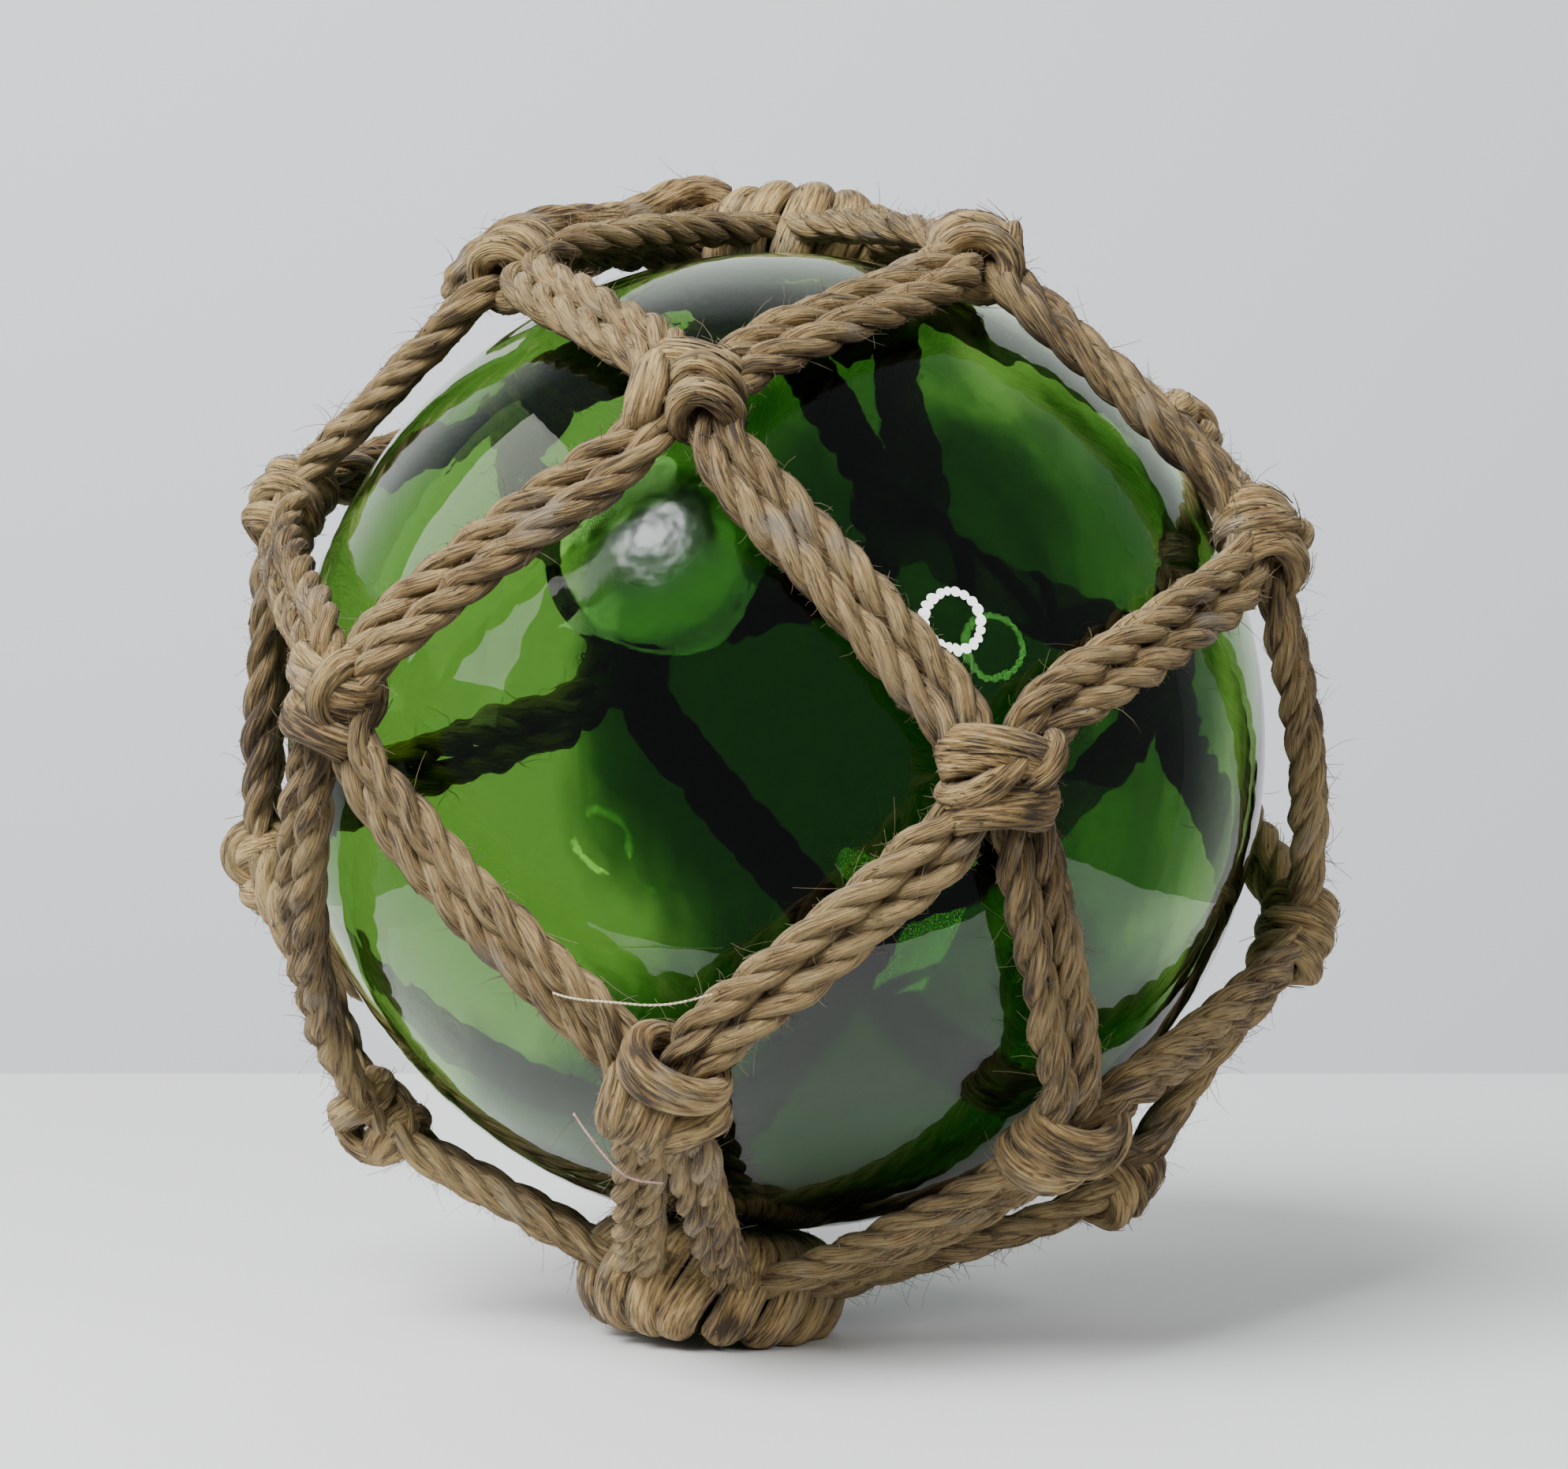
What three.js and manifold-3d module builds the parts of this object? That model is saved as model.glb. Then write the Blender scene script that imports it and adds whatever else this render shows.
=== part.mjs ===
// A glass fishing float in a knotted rope net, standing on a flat spot of its bottom ring.
//
// The float is a ball with a seal button. Ten doubled cords run over it in zigzags from a
// rope ring at the bottom to a rope ring at the top. Where two neighbouring cords meet they
// are tied in a knot, and each cord holds its own half of it. A short loop to hang the float
// by is hitched to the top ring.
//
// Millimetres and degrees. The float is made round the centre of its ball with the poles of
// the net on Z, then leaned over and lifted until its flat spot lies on z = 0.

import * as THREE from 'three';
import { mergeVertices } from 'three/addons/utils/BufferGeometryUtils.js';
import Module from 'manifold-3d';

const wasm = await Module();
wasm.setup();

// ---- driving sizes ----------------------------------------------------------------------

const GLASS_RADIUS = 75;
const ROPE = 5.5; // diameter of one rope
const GAP = 0.3; // clearance between pieces that touch

const BUTTON = { latitude: 7.5, bearing: -15, radius: 9, rise: 2.2 }; // seal of the glass

// The knots of the net, row by row from the bottom. A row lies round the ball at a latitude,
// each of its five knots at a bearing. The net is tied by hand: a knot sits a little above
// or below its row, and the slack lifts it a little off the glass.
const KNOT_ROWS = [
  {
    latitude: -47,
    bearing: [-10, 58, 104, 184, 256],
    rise: [-2.5, 1.5, 3, 0, -2],
    lift: [1, 1, 4.5, 1, 3.3],
  },
  {
    latitude: -13,
    bearing: [23, 94, 168, 254, 310],
    rise: [1, 0, 0, -4.5, 3.5],
    lift: [0, 4, 2, 3, 1],
  },
  {
    latitude: 20,
    bearing: [-13, 60, 130, 203, 274],
    rise: [2, 1.5, 0, 0, -2],
    lift: [0.5, 1.7, 2, 2, 2.3],
  },
  {
    latitude: 48,
    bearing: [26, 98, 168, 235, 304],
    rise: [6, -2, -6, -4, -1.5],
    lift: [1, 1, 2, 2, 2],
  },
];
const KNOT = { width: 19, height: 15, thickness: 12, inset: 4.8, turn: 10 };

// A pole ring is a rope ring wound all round by the hitches of the ten cords.
const RING = { radius: 13.5, halfWidth: 7.3, halfThickness: 8.9, wraps: 16, groove: 0.88 };
const BOTTOM_RING = { tilt: 171.5, bearing: 178 }; // it has slid a little off the pole
const TOP_RING = { tilt: 13.2, bearing: 201 }; // and this one has too
const LEG = { height: 84, spread: 3.35, squeeze: 0.58, swell: 1.25, inset: 3, sag: 2.4 };

// The hanging loop leaves the top ring, goes over to its tip and comes back beside itself.
// One half of its route, each point as its way over the ball from the middle of the ring,
// its distance aside and its height above the centre of the ball. The tip comes last.
const LOOP_TIP = { latitude: 51, bearing: 272.5 };
const LOOP_ROUTE = [
  [13, 4, 93.2],
  [17, 4.2, 94.2],
  [21.5, 4.6, 93],
  [26.5, 5.4, 90.4],
  [31.5, 6.6, 88.6],
  [36.5, 8.2, 88],
  [41.5, 9.9, 88],
  [46.5, 11, 88.4],
  [51, 10.5, 88.8],
  [54.5, 8, 89],
  [56.7, 4.4, 89],
  [57.5, 0, 89],
];

const LEAN = 15.5; // of the net's axis from the vertical
const LEAN_BEARING = 28; // to the right of straight away from the front
const FLAT_DEPTH = 2.4; // cut off the bottom ring, so that the float doesn't roll

// ---- heights above the centre of the ball -----------------------------------------------

const ROPE_HEIGHT = GLASS_RADIUS + 2 * GAP + ROPE / 2;
const KNOT_HEIGHT = GLASS_RADIUS + GAP + KNOT.thickness / 2;
const RING_HEIGHT = GLASS_RADIUS + GAP + RING.halfThickness;

// ---- small helpers ----------------------------------------------------------------------

const degrees = THREE.MathUtils.degToRad;

// The unit vector at a latitude and bearing. Bearing 0 faces the front, which is -Y.
function direction(latitude, bearing) {
  const level = Math.cos(degrees(latitude));
  return new THREE.Vector3(
    level * Math.sin(degrees(bearing)),
    -level * Math.cos(degrees(bearing)),
    Math.sin(degrees(latitude)),
  );
}

function solid(geometry) {
  const bare = geometry.clone();
  bare.deleteAttribute('normal');
  bare.deleteAttribute('uv');
  const merged = mergeVertices(bare, 1e-4);
  return new wasm.Manifold(new wasm.Mesh({
    numProp: 3,
    vertProperties: Float32Array.from(merged.attributes.position.array),
    triVerts: Uint32Array.from(merged.index.array),
  }));
}

function geometryOf(manifold) {
  const mesh = manifold.getMesh();
  const geometry = new THREE.BufferGeometry();
  geometry.setAttribute('position', new THREE.BufferAttribute(mesh.vertProperties, 3));
  geometry.setIndex(new THREE.BufferAttribute(mesh.triVerts, 1));
  geometry.computeVertexNormals();
  return geometry;
}

// ---- where the knots and the legs lie -----------------------------------------------------

function ringAxis(ring) {
  return direction(90 - ring.tilt, ring.bearing);
}

const places = KNOT_ROWS.map((row) => row.bearing.map(
  (bearing, k) => direction(row.latitude + row.rise[k], bearing),
));

// What a knot is tied to above it and below it. Odd rows sit half a mesh east of even ones.
function neighbours(r, k) {
  const east = r % 2 === 0 ? k : (k + 1) % 5;
  const west = (east + 4) % 5;
  const above = r === 3 ? [ringAxis(TOP_RING)] : [places[r + 1][east], places[r + 1][west]];
  const below = r === 0 ? [ringAxis(BOTTOM_RING)] : [places[r - 1][east], places[r - 1][west]];
  return { above, below };
}

// A knot's axes at its middle: east, north along its parting line, and outward.
function knotFrame(r, k) {
  const outward = places[r][k];
  const { above, below } = neighbours(r, k);
  const north = new THREE.Vector3();
  for (const [others, sign] of [[above, 1], [below, -1]]) {
    for (const other of others) {
      const toOther = other.clone().addScaledVector(outward, -other.dot(outward)).normalize();
      north.addScaledVector(toOther, sign);
    }
  }
  north.normalize().applyAxisAngle(outward, degrees(KNOT.turn * Math.sin(2.4 * k + 1.7 * r)));
  const east = new THREE.Vector3().crossVectors(north, outward);
  const frame = new THREE.Matrix4().makeBasis(east, north, outward);
  return frame.setPosition(outward.clone().multiplyScalar(KNOT_HEIGHT + KNOT_ROWS[r].lift[k]));
}

const knots = places.map((row, r) => row.map((outward, k) => (
  { outward, frame: knotFrame(r, k), lift: KNOT_ROWS[r].lift[k] }
)));

// The place beside a knot from which a run of a cord sets off. side is +1 for the cord east
// of the knot and -1 for the one west of it; up is +1 for a run that leaves upwards.
function besideKnot(knot, side, up) {
  const place = new THREE.Vector3(side * KNOT.inset, up * KNOT.height / 2, 0);
  return place.applyMatrix4(knot.frame).normalize();
}

// The place on a pole ring where the leg of a cord dives in. The two legs of a pair lie side
// by side, between the knots that they run to.
function ringEnd(ring, knot, partner) {
  const axis = ringAxis(ring);
  const between = knot.outward.clone().add(partner.outward);
  const out = between.addScaledVector(axis, -between.dot(axis)).normalize();
  const across = new THREE.Vector3().crossVectors(axis, out);
  across.multiplyScalar(Math.sign(across.dot(knot.outward)) * LEG.spread);
  const place = axis.clone().multiplyScalar(RING_HEIGHT);
  return place.addScaledVector(out, RING.radius + LEG.inset).add(across).normalize();
}

// ---- the cords --------------------------------------------------------------------------

// The section of a doubled cord has ten corners: two round ropes side by side, joined at the
// waist. In a knot they open out into an oval.
const SECTION = [];
for (const half of [1, -1]) {
  SECTION.push(new THREE.Vector2(0, -half * 0.18 * ROPE));
  for (const angle of [-105, -35, 35, 105]) {
    const corner = new THREE.Vector2(0.52 * ROPE, 0).rotateAround(new THREE.Vector2(), degrees(angle));
    SECTION.push(corner.setX(corner.x + 0.475 * ROPE).multiplyScalar(half));
  }
}
const OVAL = SECTION.map((_, i) => (
  new THREE.Vector2(0, -1).rotateAround(new THREE.Vector2(), degrees(36 * i))
));

// A station is one place along a cord: outward from the ball's centre to it, its height, the
// direction across the cord, how wide and thick its section is, and how far it is opened out.
function station(outward, height, across, width, thick, open) {
  return { outward, height, across, width, thick, open };
}

// The three stations of a run over the glass from one knot to the next.
function runStations(knot, next, side) {
  const from = besideKnot(knot, side, 1);
  const to = besideKnot(next, -side, -1);
  const across = new THREE.Vector3().crossVectors(from, to).normalize();
  const arc = from.angleTo(to);
  return [0.12, 0.5, 0.88].map((s) => {
    const outward = from.clone().applyAxisAngle(across, s * arc);
    const onGlass = THREE.MathUtils.lerp(ROPE_HEIGHT, KNOT_HEIGHT, Math.abs(2 * s - 1) ** 3);
    const height = onGlass + THREE.MathUtils.lerp(knot.lift, next.lift, s);
    return station(outward, height, across, 1, 1, 0);
  });
}

// The three stations of a leg, from a pole ring to a knot. It is nearly straight, clear of
// the glass, and nipped narrow where it dives into the ring.
function legStations(from, knot, side, up) {
  const to = besideKnot(knot, side, up);
  const across = new THREE.Vector3().crossVectors(from, to).normalize();
  const arc = from.angleTo(to);
  return [0, 0.35, 0.75].map((s) => {
    const outward = from.clone().applyAxisAngle(across, s * arc);
    const straight = THREE.MathUtils.lerp(LEG.height, KNOT_HEIGHT + knot.lift, s);
    const nip = (1 - s) ** 2;
    const width = THREE.MathUtils.lerp(1, LEG.squeeze, nip);
    const thick = THREE.MathUtils.lerp(1, LEG.swell, nip);
    return station(outward, straight - LEG.sag * 4 * s * (1 - s), across, width, thick, 0);
  });
}

// The five stations of a knot: its two mouths, its two wraps and the groove between them.
function knotStations(knot, side) {
  const across = new THREE.Vector3().setFromMatrixColumn(knot.frame, 0).negate();
  const sizes = [[-0.5, 0.8], [-0.25, 1], [0, 0.88], [0.25, 1], [0.5, 0.8]];
  return sizes.map(([along, size]) => {
    const aside = side * (1 - size) * KNOT.width / 2;
    const place = new THREE.Vector3(aside, along * KNOT.height, 0).applyMatrix4(knot.frame);
    return station(place.normalize(), KNOT_HEIGHT + knot.lift, across, size, size, 1);
  });
}

// A cord's corner on a station's section.
function cornerAt(at, i) {
  const rope = SECTION[i];
  const wide = THREE.MathUtils.lerp(rope.x, OVAL[i].x * KNOT.width / 2, at.open) * at.width;
  const thick = THREE.MathUtils.lerp(rope.y, OVAL[i].y * KNOT.thickness / 2, at.open) * at.thick;
  const place = at.outward.clone().multiplyScalar(at.height + thick);
  return place.addScaledVector(at.across, wide);
}

// Keeps a corner on its own cord's side of the parting line of a knot.
function keepToSide(place, knot, side) {
  const local = place.clone().applyMatrix4(knot.frame.clone().invert());
  if (local.length() < 1.5 * KNOT.width && side * local.x < GAP / 2) {
    local.x = side * GAP / 2;
    place.copy(local.applyMatrix4(knot.frame));
  }
}

// A cord climbs from the bottom ring to the top one through a knot of each row. Its side of
// the knots changes from row to row, and first is its side of the lowest one.
function netCord(column, first) {
  const path = knots.map((row, r) => {
    const shift = first < 0 && r % 2 === 1 ? 4 : 0;
    return { knot: row[(column + shift) % 5], side: r % 2 === 0 ? first : -first };
  });
  const bottomPartner = knots[0][(column + (first > 0 ? 1 : 4)) % 5];
  const topPartner = knots[3][(column + (first > 0 ? 4 : 0)) % 5];

  const bottomEnd = ringEnd(BOTTOM_RING, path[0].knot, bottomPartner);
  const topEnd = ringEnd(TOP_RING, path[3].knot, topPartner);

  const stations = legStations(bottomEnd, path[0].knot, path[0].side, -1);
  path.forEach(({ knot, side }, r) => {
    stations.push(...knotStations(knot, side));
    if (r < 3) {
      stations.push(...runStations(knot, path[r + 1].knot, side));
    }
  });
  const topLeg = legStations(topEnd, path[3].knot, path[3].side, 1);
  for (const at of topLeg) {
    at.across.negate();
  }
  stations.push(...topLeg.reverse());

  const last = stations.length - 1;
  const geometry = new THREE.ExtrudeGeometry(
    new THREE.Shape(SECTION),
    { depth: last, steps: last, bevelEnabled: false },
  );
  const position = geometry.attributes.position;
  for (let v = 0; v < position.count; v += 1) {
    const onSection = new THREE.Vector2(position.getX(v), position.getY(v));
    const i = SECTION.findIndex((corner) => corner.distanceTo(onSection) < 1e-4);
    const place = cornerAt(stations[Math.round(position.getZ(v))], i);
    for (const { knot, side } of path) {
      keepToSide(place, knot, side);
    }
    position.setXYZ(v, place.x, place.y, place.z);
  }
  const cord = solid(geometry);
  return cord.subtract(ringClearance(BOTTOM_RING)).subtract(ringClearance(TOP_RING));
}

// ---- the pole rings ---------------------------------------------------------------------

// The section of a ring with its hitches, lying flat on the ball, grown by a margin.
function ringSection(margin) {
  const slope = Math.asin(RING.radius / RING_HEIGHT);
  const points = [];
  for (let i = 0; i <= 8; i += 1) {
    const angle = degrees(45 * i - 22.5);
    const along = (RING.halfWidth + margin) * Math.cos(angle) / Math.cos(degrees(22.5));
    const out = (RING.halfThickness + margin) * Math.sin(angle) / Math.cos(degrees(22.5));
    points.push(new THREE.Vector2(
      RING.radius + along * Math.cos(slope) + out * Math.sin(slope),
      RING_HEIGHT * Math.cos(slope) - along * Math.sin(slope) + out * Math.cos(slope),
    ));
  }
  return points;
}

// Stands a ring made round +Y on the pole that it belongs to.
function onPole(geometry, ring) {
  const turn = new THREE.Quaternion().setFromUnitVectors(new THREE.Vector3(0, 1, 0), ringAxis(ring));
  return geometry.applyQuaternion(turn);
}

function ringWithHitches(ring) {
  const geometry = new THREE.LatheGeometry(ringSection(0), 2 * RING.wraps);
  const position = geometry.attributes.position;
  const slope = Math.asin(RING.radius / RING_HEIGHT);
  const middle = new THREE.Vector3();
  const place = new THREE.Vector3();
  for (let i = 0; i < position.count; i += 1) {
    place.fromBufferAttribute(position, i);
    const bearing = Math.atan2(place.x, place.z);
    const step = Math.round(bearing / (Math.PI / RING.wraps));
    if (step % 2 === 0) {
      middle.set(Math.sin(bearing), 0, Math.cos(bearing)).multiplyScalar(RING.radius);
      middle.y = RING_HEIGHT * Math.cos(slope);
      place.sub(middle).multiplyScalar(RING.groove).add(middle);
      position.setXYZ(i, place.x, place.y, place.z);
    }
  }
  return solid(onPole(geometry, ring));
}

function ringClearance(ring) {
  return solid(onPole(new THREE.LatheGeometry(ringSection(GAP), 2 * RING.wraps), ring));
}

// ---- the hanging loop -------------------------------------------------------------------

function hangingLoop() {
  const start = ringAxis(TOP_RING);
  const tip = direction(LOOP_TIP.latitude, LOOP_TIP.bearing);
  const aside = new THREE.Vector3().crossVectors(start, tip).normalize();
  const half = LOOP_ROUTE.map(([along, offset, height]) => (
    { outward: start.clone().applyAxisAngle(aside, along / RING_HEIGHT), offset, height }
  ));
  const back = half.slice(0, -1).reverse().map((at) => ({ ...at, offset: -at.offset }));
  const route = new THREE.CatmullRomCurve3([...half, ...back].map((at) => (
    at.outward.clone().multiplyScalar(at.height).addScaledVector(aside, at.offset)
  )));
  const round = new THREE.Shape().absarc(0, 0, ROPE / 2, 0, 2 * Math.PI);
  const section = new THREE.Shape(round.getPoints(4).slice(0, -1));
  const tube = new THREE.ExtrudeGeometry(section, { steps: 20, extrudePath: route });
  return solid(tube).subtract(ringClearance(TOP_RING));
}

// ---- the pose ---------------------------------------------------------------------------

const leanAxis = direction(0, 270 - LEAN_BEARING);
const lean = new THREE.Quaternion().setFromAxisAngle(leanAxis, degrees(LEAN));

// How far the lowest point of the bottom ring is from the centre of the ball once leaned.
function lowestReach() {
  const ring = ringWithHitches(BOTTOM_RING);
  const position = geometryOf(ring).attributes.position;
  const place = new THREE.Vector3();
  let reach = 0;
  for (let i = 0; i < position.count; i += 1) {
    reach = Math.max(reach, -place.fromBufferAttribute(position, i).applyQuaternion(lean).z);
  }
  return reach;
}

const CENTRE_HEIGHT = lowestReach() - FLAT_DEPTH;

// The floor under the flat spot, in the frame of the leaned float.
function floor() {
  const box = new THREE.BoxGeometry(120, 120, 20);
  box.translate(0, 0, -CENTRE_HEIGHT - 10);
  return solid(box.applyQuaternion(lean.clone().invert()));
}

// ---- the pieces -------------------------------------------------------------------------

function glassFloat() {
  const ball = solid(new THREE.IcosahedronGeometry(GLASS_RADIUS, 5));
  const button = new THREE.SphereGeometry(1, 12, 8);
  const sunk = 2;
  button.scale(BUTTON.radius, BUTTON.rise + sunk, BUTTON.radius);
  button.translate(0, GLASS_RADIUS - sunk, 0);
  const outward = direction(BUTTON.latitude, BUTTON.bearing);
  const turn = new THREE.Quaternion().setFromUnitVectors(new THREE.Vector3(0, 1, 0), outward);
  return ball.add(solid(button.applyQuaternion(turn)));
}

// ---- the float --------------------------------------------------------------------------

const glass = new THREE.MeshStandardMaterial({ color: 0x1f5a2c, roughness: 0.08, metalness: 0 });
const jute = new THREE.MeshStandardMaterial({ color: 0xb08a5e, roughness: 0.95, metalness: 0 });

const float = new THREE.Group();

function addPiece(name, manifold, material) {
  const mesh = new THREE.Mesh(geometryOf(manifold), material.clone());
  mesh.name = name;
  float.add(mesh);
}

addPiece('glass_float', glassFloat(), glass);
addPiece('bottom_ring', ringWithHitches(BOTTOM_RING).subtract(floor()), jute);
addPiece('top_ring', ringWithHitches(TOP_RING), jute);
for (let column = 0; column < 5; column += 1) {
  addPiece(`net_cord_${2 * column + 1}`, netCord(column, -1).subtract(floor()), jute);
  addPiece(`net_cord_${2 * column + 2}`, netCord(column, 1).subtract(floor()), jute);
}
addPiece('hanging_loop', hangingLoop(), jute);

float.quaternion.copy(lean);
float.position.z = CENTRE_HEIGHT;
const part = new THREE.Group();
part.add(float);

export default part;
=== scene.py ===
"""A glass fishing float in a knotted net of jute rope, with its looks.

The float is made in millimetres in the frame of its net, with the poles of the net on Z and the
centre of the ball at the origin. place() leans it over and lifts it to where it stands, in metres.
"""
import math
import random

import bpy
import numpy as np
from mathutils import Matrix, Quaternion, Vector


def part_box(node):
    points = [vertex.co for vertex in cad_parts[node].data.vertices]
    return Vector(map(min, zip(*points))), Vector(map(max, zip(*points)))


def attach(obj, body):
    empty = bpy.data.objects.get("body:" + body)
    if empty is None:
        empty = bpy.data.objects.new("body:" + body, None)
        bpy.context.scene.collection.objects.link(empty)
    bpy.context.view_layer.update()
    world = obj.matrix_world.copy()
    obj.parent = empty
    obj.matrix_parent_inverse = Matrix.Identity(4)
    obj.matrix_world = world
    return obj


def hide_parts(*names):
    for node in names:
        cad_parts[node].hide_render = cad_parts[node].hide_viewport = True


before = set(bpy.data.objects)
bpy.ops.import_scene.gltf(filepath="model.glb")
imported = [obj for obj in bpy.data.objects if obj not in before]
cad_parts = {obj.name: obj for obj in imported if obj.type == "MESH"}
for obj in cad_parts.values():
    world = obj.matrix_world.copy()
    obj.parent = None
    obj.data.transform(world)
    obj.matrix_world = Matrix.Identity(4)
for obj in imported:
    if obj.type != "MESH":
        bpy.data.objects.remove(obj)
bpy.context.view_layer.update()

MM = 0.001

# ---- driving sizes, in millimetres and degrees ----------------------------------------------

GLASS_RADIUS = 75
ROPE = 5.5  # diameter of one rope
GAP = 0.3
FLOOR_GAP = 0.2  # of rope that is pressed flat on the floor

SEAL = {"latitude": 7.5, "bearing": -15, "radius": 9, "rise": 2.2}

# The rows of knots from the lowest up: their latitude, and for each knot its bearing, how many
# degrees it lies above that latitude, and how far it stands off the glass beyond its usual height.
KNOT_ROWS = [
    {"latitude": -47, "bearing": [-10, 58, 104, 184, 256], "rise": [-2.5, 1.5, 3, 0, -2],
     "lift": [1, 1, 4.5, 1, 3.3]},
    {"latitude": -13, "bearing": [23, 94, 168, 254, 310], "rise": [1, 0, 0, -4.5, 3.5],
     "lift": [0, 4, 2, 3, 1]},
    {"latitude": 20, "bearing": [-13, 60, 130, 203, 274], "rise": [2, 1.5, 0, 0, -2],
     "lift": [0.5, 1.7, 2, 2, 2.3]},
    {"latitude": 48, "bearing": [26, 98, 168, 235, 304], "rise": [6, -2, -6, -4, -1.5],
     "lift": [1, 1, 2, 2, 2]},
]
KNOT = {"height": 15, "thickness": 12, "inset": 4.8, "turn": 10}

# The rings at the poles, the hitches that they are wound with, and the legs: the ends of the net's
# cords, from a ring to the next knot, where the two ropes of a cord draw together and sag.
RING = {"radius": 13.5, "half_width": 7.3, "half_thickness": 8.9, "wraps": 16}
HITCH = {"thickness": 3.4, "widest": 3.7, "overlap": 1.12, "stations": 26}
BOTTOM_RING = {"name": "bottom_ring", "tilt": 171.5, "bearing": 178}
TOP_RING = {"name": "top_ring", "tilt": 13.2, "bearing": 201}
LEG = {"height": 84, "spread": 2.6, "slim": (0.62, 0.76), "inset": 3, "sag": 2.4, "mouth": 3.1}

LEAN = 15.5  # of the top pole, backwards, and how far round to the right of the back it leans
LEAN_BEARING = 28

# Half of the hanging loop's route: the way over the ball from the middle of the top ring, the
# distance aside and the height above the centre of the ball.
LOOP_TIP = {"latitude": 51, "bearing": 272.5}
LOOP_ROUTE = [
    (13, 4, 93.2), (17, 4.2, 94.2), (21.5, 4.6, 93), (26.5, 5.4, 90.4), (31.5, 6.6, 88.6),
    (36.5, 8.2, 88), (41.5, 9.9, 88), (46.5, 11, 88.4), (51, 10.5, 88.8), (54.5, 8, 89),
    (56.7, 4.4, 89), (57.5, 0, 89),
]

ROPE_HEIGHT = GLASS_RADIUS + 2 * GAP + ROPE / 2
KNOT_HEIGHT = GLASS_RADIUS + GAP + KNOT["thickness"] / 2
RING_HEIGHT = GLASS_RADIUS + GAP + RING["half_thickness"]

# The lay of the rope: three left-handed strands.
STRANDS = 3
STRAND = {"radius": 1.5, "offset": 1.3, "pitch": 20, "sides": 9, "step": 1.3}
ROPE_APART = 0.44 * ROPE  # from the middle of a doubled cord to each of its ropes
BAND = {"width": 7.4, "thickness": 4.4, "stations": 36}

# The hollow in the ball reaches less far towards the seal, where the glass is thicker.
HOLLOW = {"along": 65, "across": 71}
THREAD = {"ply_radius": 0.11, "ply_offset": 0.09, "twist": 1.4}

CAMERA = {"aside": 1.1, "above": 1.0, "away": 600, "pitch": 1.5, "lens": 89.1, "sensor": 36}


def direction(latitude, bearing):
    """The unit vector at a latitude and bearing. Bearing 0 faces the front, which is -Y."""
    up, turn = math.radians(latitude), math.radians(bearing)
    level = math.cos(up)
    return Vector((level * math.sin(turn), -level * math.cos(turn), math.sin(up)))


glass_low, glass_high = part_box("glass_float")
CENTRE = Vector((0, 0, (glass_low[2] + glass_high[2]) / 2))
LEANED = Quaternion(direction(0, 270 - LEAN_BEARING), math.radians(LEAN)).to_matrix()


def place(points):
    """Points of the net's frame, in millimetres, where they stand on the floor, in metres."""
    return np.asarray(points) * MM @ np.array(LEANED).T + np.array(CENTRE)


# ---- camera ---------------------------------------------------------------------------------

def add_camera():
    """A camera in front, a little above the ball, that looks slightly down."""
    pitch = math.radians(CAMERA["pitch"])
    aim = CENTRE + Vector((CAMERA["aside"], 0, CAMERA["above"])) * MM
    camera = bpy.data.objects.new("camera", bpy.data.cameras.new("camera"))
    bpy.context.scene.collection.objects.link(camera)
    away = CAMERA["away"] * MM
    camera.location = aim + away * Vector((0, -math.cos(pitch), math.sin(pitch)))
    camera.rotation_euler = (aim - camera.location).to_track_quat("-Z", "Y").to_euler()
    camera.data.lens = CAMERA["lens"]
    camera.data.sensor_width = CAMERA["sensor"]
    camera.data.clip_start = 0.05
    bpy.context.scene.camera = camera


add_camera()


# ---- tubes: everything made of rope and fibre -------------------------------------------------

TUBE_SHIFT = 1.37  # in u from one tube to the next, so that no two tubes have the same streaks


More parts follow.
